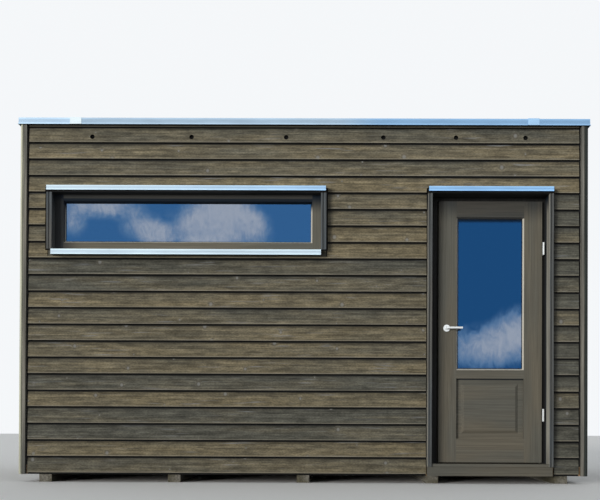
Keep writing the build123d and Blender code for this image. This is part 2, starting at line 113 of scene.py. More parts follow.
def colour(name, coloured, default):
    """A linear colour that a user may change, described by what it colours."""
    return number(name, "Colour of " + coloured, default, FloatVectorProperty, subtype="COLOR", min=0, max=1)


class BoardSettings(bpy.types.PropertyGroup):
    cover: length("Cover", "Height of each board that shows", 0.125)
    step: length("Step", "How far a board's lower edge stands in front of the board below", 0.008)
    gap: length("Gap", "Height of the open shadow gap under each board", 0.0135)
    strip: length("Top strip", "Height of the narrow strip that closes the boards under the eave", 0.0205)
    strip_gap: length("Top strip gap", "Height of the shadow gap under the narrow strip", 0.009)
    recess: length("Recess", "How far out the back of the shadow gap stands", 0.006)
    nose: length("Nose radius", "Rounding of a board's lower edge", 0.0022)
    cup: length("Cup", "How far a board's face bows out between its edges", 0.0006)
    wander: length("Wander", "How far a board's face wanders along its length", 0.0011)
    grey: colour("Grey board", "the greyest boards", (0.070, 0.069, 0.056))
    brown: colour("Brown board", "the brownest boards", (0.142, 0.119, 0.074))
    pale: colour("Worn edge", "worn edges", (0.27, 0.25, 0.20))
    knot: colour("Knot", "the knots, silvered by the weather", (0.250, 0.255, 0.250))
    wash: colour("Wash", "the streaks that the weather has silvered", (0.215, 0.225, 0.235))
    dark: colour("Knot rim", "the dark rim round a knot", (0.030, 0.024, 0.017))


class TimberSettings(bpy.types.PropertyGroup):
    casing: colour("Casing", "the casings", (0.068, 0.078, 0.086))
    casing_warm: colour("Casing, warm", "warm patches in the casings", (0.098, 0.098, 0.092))
    post: colour("Post", "the corner posts", (0.112, 0.113, 0.103))
    post_warm: colour("Post, warm", "warm patches in the corner posts", (0.185, 0.176, 0.152))
    # The posts' outer edges are painted lit at the left and painted in shade at the right
    edge: length("Edge", "Width of the posts' outer edges that are painted lit or painted in shade", 0.025)
    sunny: colour("Sunny edge", "the posts' outer edges at the left", (0.440, 0.440, 0.345))
    painted_shade_edge: colour("Painted shade edge", "the posts' outer edges at the right", (0.022, 0.027, 0.025))
    # The casings' sides that face the key light are painted lit; shaded timber is painted near black as shade
    painted_light_side: colour("Painted light side", "the casings on their sunny side", (0.305, 0.300, 0.262))
    shaded: colour("Shaded", "timber that the sun never reaches", (0.004, 0.004, 0.004))
    joinery: colour("Joinery", "the door and window frames", (0.096, 0.094, 0.080))
    joinery_warm: colour("Joinery, warm", "warm patches in the joinery", (0.118, 0.106, 0.082))
    # The door frame behind the leaf is painted near black as shade
    frame: colour("Door frame", "the door frame behind the leaf", (0.014, 0.014, 0.014))
    # The beads are painted pale to stand in for the light on their sloped faces
    bead: colour("Beads", "the glazing beads", (0.50, 0.475, 0.41))
    lining: colour("Lining", "the boards in the room", (0.52, 0.36, 0.21))
    lining_warm: colour("Lining, warm", "warm streaks in the room's boards", (0.40, 0.24, 0.12))
    bearer: colour("Bearers", "the ground bearers", (0.085, 0.078, 0.055))


class MetalSettings(bpy.types.PropertyGroup):
    # The roof edge, flashings and covers are paler at the left and bluer at the right: a painted reflection
    # of the sky
    pale: colour("Pale edge", "the roof edge at the left", (0.372, 0.503, 0.640))
    blue: colour("Blue edge", "the roof edge at the right", (0.222, 0.392, 0.610))
    flashing: colour("Flashing", "the flashings at the left", (0.62, 0.76, 0.87))
    flashing_blue: colour("Blue flashing", "the flashings at the right", (0.29, 0.53, 0.84))
    cover: colour("Joint cover", "the joint cover at the left", (0.82, 0.93, 0.98))
    cover_blue: colour("Blue cover", "the joint cover at the right", (0.38, 0.62, 0.90))
    steel: colour("Steel", "the hinges and handles", (0.90, 0.94, 0.96))
    half_cover: length("Half cover", "Half the width of a cover on the roof edge's joints", 0.043)
    first_sheet: number("First sheet", "Brightness of the roof edge left of its first joint", 1.30,
                        min=0.5, max=2.0, subtype="FACTOR")


class GlassSettings(bpy.types.PropertyGroup):
    # The glass's deep, mid and pale colours are a painted reflection of the sky and clouds
    deep: colour("Deep", "the sky painted into the window's glass", (0.032, 0.122, 0.300))
    door_deep: colour("Deep, door", "the sky painted into the door's glass", (0.010, 0.072, 0.208))
    mid: colour("Mid", "the glass near its pale patches", (0.085, 0.185, 0.355))
    cloud: colour("Pale", "the glass's pale patches", (0.335, 0.385, 0.480))
    pane: length("Pane", "Thickness of one pane in the sealed unit", 0.004)
    spacer: length("Spacer", "Width of the spacer between the panes", 0.012)
    gasket: length("Gasket", "How far the window's gasket shows inside the beads", 0.001)
    door_gasket: length("Gasket, door", "How far the door's gasket shows inside the beads", 0.0035)
    gasket_depth: length("Gasket depth", "How far a gasket stands out from the glass", 0.004)


class RoofSettings(bpy.types.PropertyGroup):
    felt: colour("Felt", "the roof felt", (0.040, 0.042, 0.044))
    strip: length("Strip", "Width of one strip of felt", 1.0)
    lap: length("Lap", "Width of the lap between two strips", 0.08)


class StageSettings(bpy.types.PropertyGroup):
    camera: number("Camera", "The camera's place", (0.252, -7.19, 0.4166), FloatVectorProperty, unit="LENGTH")
    lens: number("Lens", "Focal length in millimetres", 47.753)
    tilt: number("Tilt", "Upward tilt in degrees", 0.3845)
    roll: number("Roll", "Roll in degrees", 0.2303)
    turn: number("Turn", "Turn to the right in degrees", -0.1759)
    shift_x: number("Shift X", "Sideways shift of the frame", -0.05651)
    shift_y: number("Shift Y", "Upward shift of the frame", 0.28775)
    key: number("Key light", "Strength of the key light", 4.15)
    spread: number("Key spread", "Width of the key light in degrees", 22.0)
    travel: number("Key travel", "Direction of the key light", (0.85, 1.0, -0.06), FloatVectorProperty)
    sky: number("Sky light", "Strength of the light from all round", 0.46)
    floor: colour("Floor", "the floor", (0.92, 0.92, 0.91))
    radius: length("Floor radius", "How far the floor reaches", 45.0)


# Surfaces


def quads(rows, columns):
    """Corner numbers of the faces between neighbouring rows of a grid of points, whose last column
    joins its first."""
    row, column = np.meshgrid(np.arange(rows - 1), np.arange(columns), indexing="ij")
    after = (column + 1) % columns
    near, far = row * columns, (row + 1) * columns
    return np.stack((near + column, near + after, far + after, far + column), axis=-1).reshape(-1, 4)


def outward(points, faces):
    """The same faces, turned round where the volume that they enclose comes out negative: the sum
    over each face's fan of triangles of their corners' triple product."""
    volume = 0.0
    for face in faces:
        corner = points[face]
        volume += (np.cross(corner[1:-1], corner[2:]) @ corner[0]).sum()
    return [face[::-1] for face in faces] if volume < 0 else faces


def carried(profile, path, across, upward):
    """A closed profile carried along a path: each point is the path's point plus the profile's
    first coordinate times the across vector and its second times the upward vector."""
    return path[:, None, :] + profile[None, :, 0, None] * across + profile[None, :, 1, None] * upward


def straight(profile, start, end):
    """A profile across and up carried along the straight line from start to end."""
    return carried(np.array(profile, float), np.array((start, end), float), RIGHT, UP)


def capped(grid):
    """Points and faces of a carried profile, closed by its two end faces."""
    stations, sides = grid.shape[:2]
    points = grid.reshape(-1, 3)
    first = list(range(sides))
    last = list(range((stations - 1) * sides, stations * sides))[::-1]
    return points, outward(points, [*quads(stations, sides).tolist(), first, last])


def ring_bar(low, high, width, front, back):
    """A bar that runs round inside a rectangle, from its front plane to its back plane: each corner
    carries the same four points, and the last corner joins the first."""
    low, high = np.array(low), np.array(high)
    middle, half = (low + high) / 2, (high - low) / 2
    corners = np.array(((-1, -1), (1, -1), (1, 1), (-1, 1)))
    outer, inner = middle + half * corners, middle + (half - width) * corners
    lines = ((outer, front), (inner, front), (inner, back), (outer, back))
    grid = np.stack([np.insert(corner, 1, y, axis=1) for corner, y in lines], axis=1)
    points = grid.reshape(-1, 3)
    return points, outward(points, (quads(5, 4) % len(points)).tolist())


def linked(name, data):
    """A new object, linked to the scene."""
    made = bpy.data.objects.new(name, data)
    bpy.context.scene.collection.objects.link(made)
    return made


class Shell:
    """Points, faces and per-point values gathered for one mesh."""

    def __init__(self):
        self.points, self.faces, self.grain, self.values, self.count = [], [], [], [], 0

    def add(self, points, faces, grain=None, values=None):
        """Takes an array of points and a list of faces, with grain coordinates and a pair of values
        a point, which a piece whose material reads neither leaves out."""
        blank = np.zeros((len(points), 2))
        self.points.append(points)
        self.faces.extend([[i + self.count for i in face] for face in faces])
        self.grain.append(blank if grain is None else grain)
        self.values.append(blank + 0.5 if values is None else values)
        self.count += len(points)

    def piece(self, name, material, body):
        """Makes the mesh, with a grain map for the pattern and a map of tone and height, which set
        wear and painted shade, and lets it move with a body."""
        mesh = bpy.data.meshes.new(name)
        mesh.from_pydata(np.concatenate(self.points).tolist(), [], self.faces)
        mesh.update()
        corners = np.zeros(len(mesh.loops), np.int32)
        mesh.loops.foreach_get("vertex_index", corners)
        for label, pairs in (("grain", self.grain), ("wear_and_shade", self.values)):
            layer = mesh.uv_layers.new(name=label)
            layer.data.foreach_set("uv", np.concatenate(pairs)[corners].astype(np.float32).ravel())
        mesh.shade_smooth()
        mesh.set_sharp_from_angle(angle=SHARP)
        mesh.materials.append(material)
        piece = linked(name, mesh)
        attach(piece, body)
        return piece


def points_of(node):
    """The points of a CAD node, one a row."""
    vertices = frame["nodes"][node].data.vertices
    points = np.zeros(3 * len(vertices), np.float32)
    vertices.foreach_get("co", points)
    return points.reshape(-1, 3).astype(float)


# Material nodes


class Term:
    """A value in a node tree. Each sum on it adds a math node to the tree and gives a new term."""

    def __init__(self, tree, socket):
        self.tree, self.socket = tree, socket

    def __add__(self, other):
        return calc("ADD", self, other)

    def __mul__(self, other):
        return calc("MULTIPLY", self, other)

    def __sub__(self, other):
        return calc("SUBTRACT", self, other)

    def __truediv__(self, other):
        return calc("DIVIDE", self, other)

    __radd__, __rmul__ = __add__, __mul__

    def beside(self, output):
        """Another output of the same node."""
        return Term(self.tree, self.socket.node.outputs[output])

    def parts(self):
        """The three parts of a vector."""
        first = add_node("SeparateXYZ", {0: self})
        return first, first.beside(1), first.beside(2)


def add_node(kind, inputs, output=0, tree=None, **settings):
    """Adds a node whose inputs are terms or constants to the tree of its first term or to a given
    one, and gives back one of its outputs."""
    tree = tree or next(value.tree for value in inputs.values() if isinstance(value, Term))
    made = tree.nodes.new("ShaderNode" + kind)
    for key, value in settings.items():
        setattr(made, key, value)
    for key, value in inputs.items():
        feed(made.inputs[key], value)
    return Term(tree, made.outputs[output])


def feed(socket, value):
    """Links a socket to a term, or sets it to a constant."""
    if isinstance(value, Term):
        value.tree.links.new(value.socket, socket)
    elif isinstance(socket, bpy.types.NodeSocketColor) and len(value) == 3:
        socket.default_value = (*value, 1)
    else:
        socket.default_value = value


def calc(operation, first, second=0.0, clamp=False):
    """One sum on numbers."""
    return add_node("Math", {0: first, 1: second}, operation=operation, use_clamp=clamp)


def vector(operation, *terms, output="Vector"):
    """One sum on vectors."""
    return add_node("VectorMath", dict(enumerate(terms)), output, operation=operation)


def stretched(place, scale, shift=(0, 0, 0)):
    """A coordinate scaled and shifted each way."""
    return add_node("Mapping", {"Vector": place, "Scale": scale, "Location": shift})


def noise(place, scale, detail=2.0, roughness=0.5, warp=0.0, shift=(0, 0, 0)):
    """Noise from 0 to 1 on a coordinate that is scaled and shifted each way."""
    inputs = {"Scale": 1.0, "Detail": detail, "Roughness": roughness, "Distortion": warp}
    return add_node("TexNoise", {"Vector": stretched(place, scale, shift), **inputs}, "Fac")


def ramp(value, low, high, out_low=0.0, out_high=1.0):
    """A value stretched from one range to another, smoothly, and held at its ends."""
    inputs = {"Value": value, "From Min": low, "From Max": high, "To Min": out_low, "To Max": out_high}
    return add_node("MapRange", inputs, interpolation_type="SMOOTHSTEP")


def blend(share, first, second, mode="MIX"):
    """One colour blended into another."""
    inputs = {"Factor": share, "A": first, "B": second}
    return add_node("Mix", inputs, "Result", data_type="RGBA", blend_type=mode)


def times(tint, amount):
    """A colour times a number."""
    grey = add_node("CombineColor", {0: amount, 1: amount, 2: amount})
    return blend(1.0, tint, grey, "MULTIPLY")


def begin(name):
    """A new material with an empty tree, and its object coordinates."""
    material = bpy.data.materials.new(name)
    material.use_nodes = True
    material.node_tree.nodes.clear()
    return material, add_node("TexCoord", {}, "Object", material.node_tree)


def finish(material, tint, roughness, height=None, depth=0.0, **others):
    """Ends a material with a principled shader, and with a bump where a height from 0 to 1 and its
    depth in metres are given."""
    inputs = {"Base Color": tint, "Roughness": roughness, **others}
    if height:
        inputs["Normal"] = add_node("Bump", {"Height": height, "Distance": depth, "Strength": 1.0})
    shader = add_node("BsdfPrincipled", inputs, "BSDF")
    output = shader.tree.nodes.new("ShaderNodeOutputMaterial")
    feed(output.inputs["Surface"], shader)
    return material


def weathered_boards(name, boards, eave):
    """Lapped boards gone grey: each board has its own tone, streaks run along it and bend round
    knots, pale lines are washed into it, and its lower edge is worn pale. Painted shade darkens
    the top of each board under the one above and fills the gap under it near black, and just
    under the height of the eave the boards carry the painted shadow of the roof edge."""
    material, spot = begin(name)
    grain = add_node("UVMap", {}, tree=spot.tree, uv_map="grain")
    tone, height, _ = add_node("UVMap", {}, tree=spot.tree, uv_map="wear_and_shade").parts()

    # Knots: a cell for each, in about half of which a round knot stands, with its rim and its ring
    knot_scale = (1.9, 9.0, 1.0)
    cells = add_node("TexVoronoi", {"Vector": stretched(grain, knot_scale), "Scale": 1.0}, "Position")
    away = vector("SUBTRACT", stretched(cells, (1 / knot_scale[0], 1 / knot_scale[1], 0)), grain)
    reach = vector("LENGTH", stretched(away, (0.95, 0.85, 0.0)), output="Value")
    pick = add_node("SeparateColor", {0: cells.beside("Color")})
    present = ramp(pick, 0.50, 0.54)
    reach = reach / ramp(pick.beside(1), 0.0, 1.0, 0.45, 1.35)
    edges = ((0.0135, 0.0040), (0.019, 0.014), (0.030, 0.010))
    knot, rim, ring = (ramp(reach, *edge) * present for edge in edges)

    # Streaks, fibres and patches, on a grain that bends round the knots
    bend = ring * 0.011 + noise(grain, (0.9, 3.0, 1.0)) * 0.022
    bent = vector("ADD", grain, add_node("CombineXYZ", {"Y": bend}))
    streak = noise(bent, (1.5, 78.0, 1.0), 4.0, 0.62)
    fibre = noise(bent, (7.0, 430.0, 1.0), 2.0, 0.6)
    patch = noise(grain, (1.5, 13.0, 1.0), 3.0, 0.55, shift=(3.1, 7.7, 0.0))
    large = noise(grain, (0.33, 2.1, 1.0), 1.0, shift=(9.4, 2.3, 0.0))
    washed = ramp(noise(bent, (3.4, 60.0, 1.0), shift=(5.0, 1.0, 0.0)), 0.57, 0.71)
    washed = washed * ramp(patch, 0.45, 0.62)
    mottle = noise(grain, (8.0, 30.0, 1.0), 3.0, 0.65, shift=(2.2, 6.1, 0.0))
    grit = noise(grain, (62.0, 120.0, 1.0), 1.0, shift=(1.2, 3.4, 0.0))
    smudge = ramp(noise(bent, (4.2, 66.0, 1.0), 3.0, 0.6, shift=(4.4, 8.3, 0.0)), 0.56, 0.72)
    smudge = smudge * ramp(large, 0.42, 0.60)

    warmth = (patch - 0.5) * 1.6 + (large - 0.5) * 1.1 + (height - 0.5) * -0.25
    base = blend(calc("ADD", warmth, tone, clamp=True), boards.grey, boards.brown)
    shade = (
        ramp(streak, 0.30, 0.72, 0.70, 1.36)
        * ramp(fibre, 0.25, 0.75, 0.86, 1.14)
        * ramp(mottle, 0.28, 0.72, 0.64, 1.36)
        * ramp(grit, 0.28, 0.72, 0.80, 1.20)
        * ramp(smudge, 0.0, 1.0, 1.0, 0.62)
        # Painted shade: darker towards each board's top, under the board above
        * ramp(height, 0.74, 0.97, 1.0, 0.66)
        * ramp(height, 0.93, 1.0, 1.0, 0.35)
    )
    base = times(base, shade)
    worn = ramp(height, 0.14, 0.07) * ramp(patch, 0.2, 0.8, 0.30, 0.75)
    for share, tint in (
        (washed * 0.50, boards.wash),
        (ring * 0.16, boards.pale),
        (rim * 0.34, boards.dark),
        (knot * 0.50, boards.knot),
        (worn, boards.pale),
    ):
        base = blend(share, base, tint)
    # Painted shadow of the roof edge just under the eave
    base = times(base, ramp(spot.parts()[2], eave - 0.042, eave, 1.0, 0.22))
    # Painted shade: near black in the gap under each board
    base = blend(ramp(height, 0.045, 0.01), base, (0.002, 0.002, 0.002))
    relief = streak * 0.7 + fibre * 0.3 - knot * 0.4
    return finish(material, base, ramp(streak, 0.3, 0.7, 0.88, 0.70), relief, 0.0016)


def timber(name, cool, warm, along, contrast=1.0, roughness=0.72, streaks=90.0, shades=(), boards=None):
    """Sawn or planed timber whose grain runs along one axis: streaks drawn out along it, patches
    of a warmer tone, and darker pores. Each shade is a painted shade: a direction, the distances
    along it where timber set back behind the casings starts to darken and where it is darkest, and
    how dark. Boards gives the axis across tongued boards and their width: a tone for each and a dark
    joint."""
    material, spot = begin(name)
    parts = spot.parts()

    def drawn(lengthwise, across):
        """A scale with one value along the grain and another across it."""
        return tuple(lengthwise if axis == along else across for axis in "XYZ")

    waver = noise(spot, drawn(0.8, 4.0), 1.0)
    shift = stretched(add_node("CombineXYZ", {key: waver for key in "XYZ"}), drawn(0.0, 0.03))
    bent = vector("ADD", spot, shift)
    streak = noise(bent, drawn(1.6, streaks), 3.0, 0.6)
    fibre = noise(bent, drawn(8.0, 4 * streaks))
    patch = noise(spot, drawn(1.1, 7.0))
    base = blend(ramp(patch, 0.35, 0.68), cool, warm)
    shade = ramp(streak, 0.3, 0.72, 1 - 0.26 * contrast, 1 + 0.24 * contrast)
    base = times(base, shade * ramp(fibre, 0.3, 0.7, 0.94, 1.06))
    # Painted shade on timber set back behind the casings
    if shades:
        depth = ramp(parts[1], *SHADE_FRONT) * ramp(parts[1], *SHADE_BACK)
        dark = 0.0
        for direction, start, end, share in shades:
            far = vector("DOT_PRODUCT", spot, direction, output="Value")
            dark = calc("MAXIMUM", dark, ramp(far, start, end, 0.0, share))
        base = blend(depth * dark, base, DEEP_SHADE)
    if boards:
        across, width = boards
        count = parts["XYZ".index(across)] / width
        tone = add_node("TexWhiteNoise", {"W": calc("FLOOR", count)}, "Value", noise_dimensions="1D")
        joint = calc("PINGPONG", count, 0.5) * width
        base = times(base, (0.86 + tone * 0.28) * ramp(joint, 0.0012, 0.0035, 0.12, 1.0))
    rough = ramp(streak, 0.3, 0.7, roughness + 0.1, roughness - 0.06)
    relief = streak + fibre * 0.4
    return finish(material, base, rough, relief, 0.0006 * contrast, **{"Specular IOR Level": 0.25})


def sheet_metal(name, left, right, folds=(), roughness=0.34, turn=FLASHING_TURN, first=None):
    """Sheet metal, paler at the left of the front and bluer at the right, a painted reflection of
    the sky, with a faint brushed grain and soft cloudy marks left by rain. Folds gives the lowest
    and highest place of strips that carry a painted highlight along both edges, where the sheet is
    folded. Turn gives the places between which pale turns to blue. First gives a joint and how
    bright the sheet to the left of it is."""
    material, spot = begin(name)
    x, _, z = spot.parts()
    # Painted reflection of the sky: pale at the left, blue at the right
    tint = blend(ramp(x, *turn) * ramp(z, *TURN_HEIGHTS), left, right)
    # Painted highlight along both edges of each fold
    bright = 0.0
    for low, high in folds:
        half = (high - low) / 2
        away = calc("ABSOLUTE", z - (low + half))
        fold = ramp(away, 0.3 * half, 0.8 * half) * ramp(away, 2 * half, 1.5 * half)
        bright = calc("MAXIMUM", bright, fold)
    marks = noise(spot, (3.0, 9.0, 14.0), 3.0, 0.6)
    brushed = noise(spot, (5.0, 600.0, 600.0), 1.0)
    shade = ramp(marks, 0.3, 0.7, 0.93, 1.05) * ramp(brushed, 0.2, 0.8, 0.98, 1.02)
    shade = shade * (1.0 + bright * 0.28)
    if first:
        joint, gain = first
        shade = shade * ramp(x, joint - MM, joint, gain, 1.0)
    rough = ramp(marks, 0.3, 0.7, roughness + 0.08, roughness - 0.04)
    return finish(material, times(tint, shade), rough, brushed, 0.00005, Metallic=0.45)


def painted_sky_glass(name, deep, glass, scale, shift, clouds, head=None):
    """Glass whose deep blue body and soft pale patches are a painted reflection of the sky and
    clouds. Head gives the heights between which the glass is painted dark as the shade under a rail
    that stands far in front of it."""
    material, spot = begin(name)
    soft = noise(spot, scale, 5.0, 0.6, 0.6, shift)
    wisps = noise(spot, (15.0, 1.0, 8.0), 4.0, 0.65, 0.8, shift)
    # Painted reflection of clouds: a pale patch round each centre
    mass = 0.0
    for across, up, wide, tall, weight in clouds:
        oval = stretched(spot, (1 / wide, 0.0, 1 / tall), (-across / wide, 0.0, -up / tall))
        mass = mass + ramp(vector("LENGTH", oval, output="Value"), 1.15, 0.0, 0.0, weight)
    haze = ((soft - 0.5) * 1.2 + (wisps - 0.5)) * ramp(mass, 0.0, 0.5, 0.15, 1.0)
    mass = calc("MINIMUM", mass, 1.0) + haze
    body = blend(ramp(mass, 0.05, 0.50), deep, glass.mid)
    body = blend(ramp(mass, 0.30, 1.20), body, glass.cloud)
    # Painted shade under the rail
    if head:
        body = blend(ramp(spot.parts()[2], *head, 0.0, 0.88), body, (0.004, 0.008, 0.014))
    return finish(material, body, 0.09, Metallic=0.92, Alpha=0.9)


def dull(name, tint, roughness, grain, depth):
    """A matt surface with a fine mottled grain, such as felt, rubber or a hollow painted dark as shade."""
    material, spot = begin(name)
    fine = noise(spot, (grain, grain, grain), 2.0, 0.7)
    wide = noise(spot, (1.7, 1.7, 1.7), 3.0, 0.6)
    shade = ramp(fine, 0.25, 0.75, 0.80, 1.25) * ramp(wide, 0.3, 0.7, 0.86, 1.12)
    return finish(material, times(tint, shade), roughness, fine, depth)


def dress(material, *nodes):
    """Gives CAD nodes a material."""
    for name in nodes:
        mesh = frame["nodes"][name].data
        mesh.materials.clear()
        mesh.materials.append(material)


def face_some(material, chosen, *nodes):
    """Gives some faces of CAD nodes one more material: those that a rule picks by centre and normal."""
    for name in nodes:
        mesh = frame["nodes"][name].data
        mesh.materials.append(material)
        faces = np.array([(*face.center, *face.normal, face.material_index) for face in mesh.polygons])
        picked = np.where(chosen(faces[:, :3], faces[:, 3:6]), len(mesh.materials) - 1, faces[:, 6])
        mesh.polygons.foreach_set("material_index", picked.astype(np.int32))


# Boards


class Wall:
    """A side of the cabin: board coordinates (along, out, up) turned about the upright axis."""

    def __init__(self, quarter_turns):
        self.turn = quarter_turns
        angle = quarter_turns * math.pi / 2
        self.along = np.array((round(math.cos(angle)), round(math.sin(angle)), 0.0))
        self.out = np.cross(self.along, UP)

    def bands(self, node):
        """A sheet's limits along, out and up: one block, or two where a notch narrows its top."""
        low, high = (np.array(corner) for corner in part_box(node))
        along, out = (sorted((low @ way, high @ way)) for way in (self.along, self.out))
        points = points_of(node)
        levels = np.unique(points[:, 2].round(5))
        if len(levels) != 3:
            return [(along, out, (low[2], high[2]))]
        found = []
        for level, bottom, top in ((0, levels[0], levels[1]), (2, levels[1], levels[2])):
            edge = points[np.abs(points[:, 2] - levels[level]) < MM] @ self.along
            found.append(((edge.min(), edge.max()), out, (bottom, top)))
        return found


def board_profile(boards, thickness, low, high):
    """Section of one board between two heights above its line: the back of the shadow gap, a
    rounded lower edge and a face that leans in by the step with a slight bow. The face's distance
    out is the thickness, less the step times the share of its height, plus the bow times a half
    sine. Returns the closed outline, with the height of each point that sets the worn edge and the
    painted shade: none in the gap, and from 0.05 at the lower edge to 1 at the top."""
    rise = boards.cover - boards.gap
    share = np.linspace(boards.nose / rise, 1, 7)
    face = thickness - boards.cup - boards.step * share + boards.cup * np.sin(math.pi * share)
    angle = np.radians(np.linspace(-90, -18, 4))
    nose_out = face[0] - boards.nose * (1 - np.cos(angle))
    nose_up = boards.gap + boards.nose * (1 + np.sin(angle))
    out = np.concatenate(((boards.recess, boards.recess), nose_out, face))
    up = np.concatenate(((0.0, boards.gap), nose_up, boards.gap + rise * share))
    wear_and_shade = np.concatenate(((0.0, 0.0), np.full(4, 0.05), 0.05 + 0.95 * share))
    low, high = max(low, 0.0), min(high, boards.cover)
    kept = (up > low + 1e-6) & (up < high - 1e-6)
    section = [
        (np.interp(low, up, out), low, np.interp(low, up, wear_and_shade)),
        *zip(out[kept], up[kept], wear_and_shade[kept]),
        (np.interp(high, up, out), high, np.interp(high, up, wear_and_shade)),
        (0.0, high, 1.0),
        (0.0, low, 1.0),
    ]
    return np.array(section)


def lay_boards(shell, wall, limits, rows_from, span, boards):
    """Fills a sheet of cladding with boards, each cut off at the sheet's limits. Along its length a
    board's face wanders by a sum of two sines with its own phases. Span gives a segment with its own
    tones and grain, and the rows between which the boards belong to it."""
    (start, end), (back, face), (bottom, top) = limits
    own, below, above = span
    first_row = math.floor((bottom - rows_from) / boards.cover + 1e-4)
    last_row = math.ceil((top - rows_from) / boards.cover - 1e-4)
    for row in range(first_row, last_row):
        foot = rows_from + row * boards.cover
        section = board_profile(boards, face - back - boards.wander, bottom - foot, top - foot)
        profile = section[:, :2]
        segment = own if below < row < above else 0
        chance = np.random.default_rng((row + TONE_START, segment, wall.turn + 5))
        tone = chance.normal(0.50, 0.34) + TONE_SHIFTS[segment]
        chance = np.random.default_rng((row + 3, segment, wall.turn + 1))
        phases = chance.uniform(0, 2 * math.pi, 2)
        seed = chance.uniform(0, 60, 2)
        stations = max(3, int((end - start) / 0.22))
        along = np.linspace(start, end, stations)
        wander = 0.5 + 0.25 * np.sin(along * 2.1 + phases[0]) + 0.25 * np.sin(along * 5.3 + phases[1])
        path = along[:, None] * wall.along + foot * UP + back * wall.out
        grid = carried(profile, path, wall.out, UP)
        proud = (profile[:, 0] > boards.recess + MM)[None, :, None]
        grid = grid + proud * (wander * boards.wander)[:, None, None] * wall.out
        points, faces = capped(grid)
        u = np.repeat(along, len(profile)) + seed[0]
        v = np.tile(profile[:, 1] + profile[:, 0] * 0.5, stations) + seed[1]
        values = np.stack((np.full(len(points), tone), np.tile(section[:, 2], stations)), axis=1)
        shell.add(points, faces, np.stack((u, v), axis=1), values)


def vent_holes():
    """Centre along X, height and radius of each hole in the top sheet, read from its inner edges."""
    points = points_of("front_cladding_top")[:, [0, 2]]
    low, high = points.min(0), points.max(0)
    inner = points[((points > low + (0.01, 0.05)) & (points < high - (0.01, 0.02))).all(1)]
    across = np.unique(inner[:, 0].round(5))
    groups = np.split(across, np.where(np.diff(across) > 0.1)[0] + 1)
    height = (inner[:, 1].min() + inner[:, 1].max()) / 2
    return [((g.min() + g.max()) / 2, height, (g.max() - g.min()) / 2) for g in groups]


class SAUNA_OT_cladding(bpy.types.Operator):
    """Lay the lapped boards on all four walls"""

    bl_idname = "sauna.cladding"
    bl_label = "Cladding"

    def execute(self, context):
        self.boards = context.scene.sauna_boards
        self.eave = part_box("roof_trim_front")[0].z
        self.window_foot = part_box("window_casing_jambs")[0].z
        self.rows_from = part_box("front_cladding_left")[0].z
        self.material = weathered_boards("weathered_boards", self.boards, self.eave)
        sill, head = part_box("front_cladding_under_window")[1].z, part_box("front_cladding_top")[0].z
        sill_row, head_row = (int((z - self.rows_from) / self.boards.cover) for z in (sill, head))

        self.sheet("front_cladding_left", 0, (1, sill_row, head_row), (0.005, 0.0), (0.0, 0.019))
        self.sheet("front_cladding_under_window", 0, cuts=(0.0, 0.0))
        self.sheet("front_cladding_middle", 0, (2, sill_row, head_row), (0.0, 0.0), (0.004, 0.0))
        self.sheet("front_cladding_right", 0, (3, -math.inf, head_row), (0.010, 0.007))
        self.sheet("front_cladding_top", 0, cuts=(0.005, 0.007))
        for turns, node in enumerate(("right_cladding", "back_cladding", "left_cladding"), 1):
            self.sheet(node, turns)
        self.bore_vents(context)
        return {"FINISHED"}

    def sheet(self, node, turns, span=(0, 0, 0), cuts=(0.005, 0.005), casing_cuts=(0.0, 0.0)):
        """Boards in place of one sheet of cladding, in bands that follow its notch. A narrow strip
        closes them under the roof edge. Cuts gives how far they stop short of the sheet's two ends,
        and casing cuts how much further they stop short beside the window's casings."""
        shell, wall, boards, foot = Shell(), Wall(turns), self.boards, self.window_foot
        for (start, end), out, (bottom, top) in wall.bands(node):
            start, end = start + cuts[0], end - cuts[1]
            if top > self.eave - MM:
                strip_foot = self.eave - boards.strip
                strip_from = strip_foot - boards.gap + boards.strip_gap
                lay_boards(shell, wall, ((start, end), out, (strip_foot, top)), strip_from, span, boards)
                top = strip_foot
            levels = (bottom, foot, top) if any(casing_cuts) and bottom < foot < top else (bottom, top)
            for low, high in zip(levels, levels[1:]):
                beside = np.array(casing_cuts) * (low > foot - MM)
                limits = ((start + beside[0], end - beside[1]), out, (low, high))
                lay_boards(shell, wall, limits, self.rows_from, span, boards)
        piece = shell.piece(node + "_boards", self.material, CABIN)
        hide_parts(node)

    def bore_vents(self, context):
        """Bores the vent holes of the front sheet through its boards, with sides painted dark as
        the shade inside them: a circle's cosine and sine times the radius, carried straight through."""
        boards_piece = bpy.data.objects["front_cladding_top_boards"]
        # The holes' sides painted near black as the shade inside them
        hollow = dull("vent_hollow", (0.006, 0.006, 0.006), 0.9, 300.0, 0.0001)
        low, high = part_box("front_cladding_top")
        angle = np.linspace(0, 2 * math.pi, 28, endpoint=False)
        circle = np.stack((-np.sin(angle), np.cos(angle)), axis=1)
        for hole, (x, z, radius) in enumerate(vent_holes()):
            shell = Shell()
            shell.add(*capped(straight(radius * circle, (x, high.y - MM, z), (x, low.y - 2 * MM, z))))
            cutter = shell.piece(f"vent_cutter_{hole}", hollow, CABIN)
            cut = boards_piece.modifiers.new("vent", "BOOLEAN")
            cut.operation = "DIFFERENCE"
            cut.solver = "EXACT"
            cut.object = cutter
            cut.material_mode = "TRANSFER"
            with context.temp_override(object=boards_piece, active_object=boards_piece):
                bpy.ops.object.modifier_apply(modifier=cut.name)
            bpy.data.objects.remove(cutter)
        boards_piece.data.set_sharp_from_angle(angle=SHARP)


# Frames, metal, roof and glass


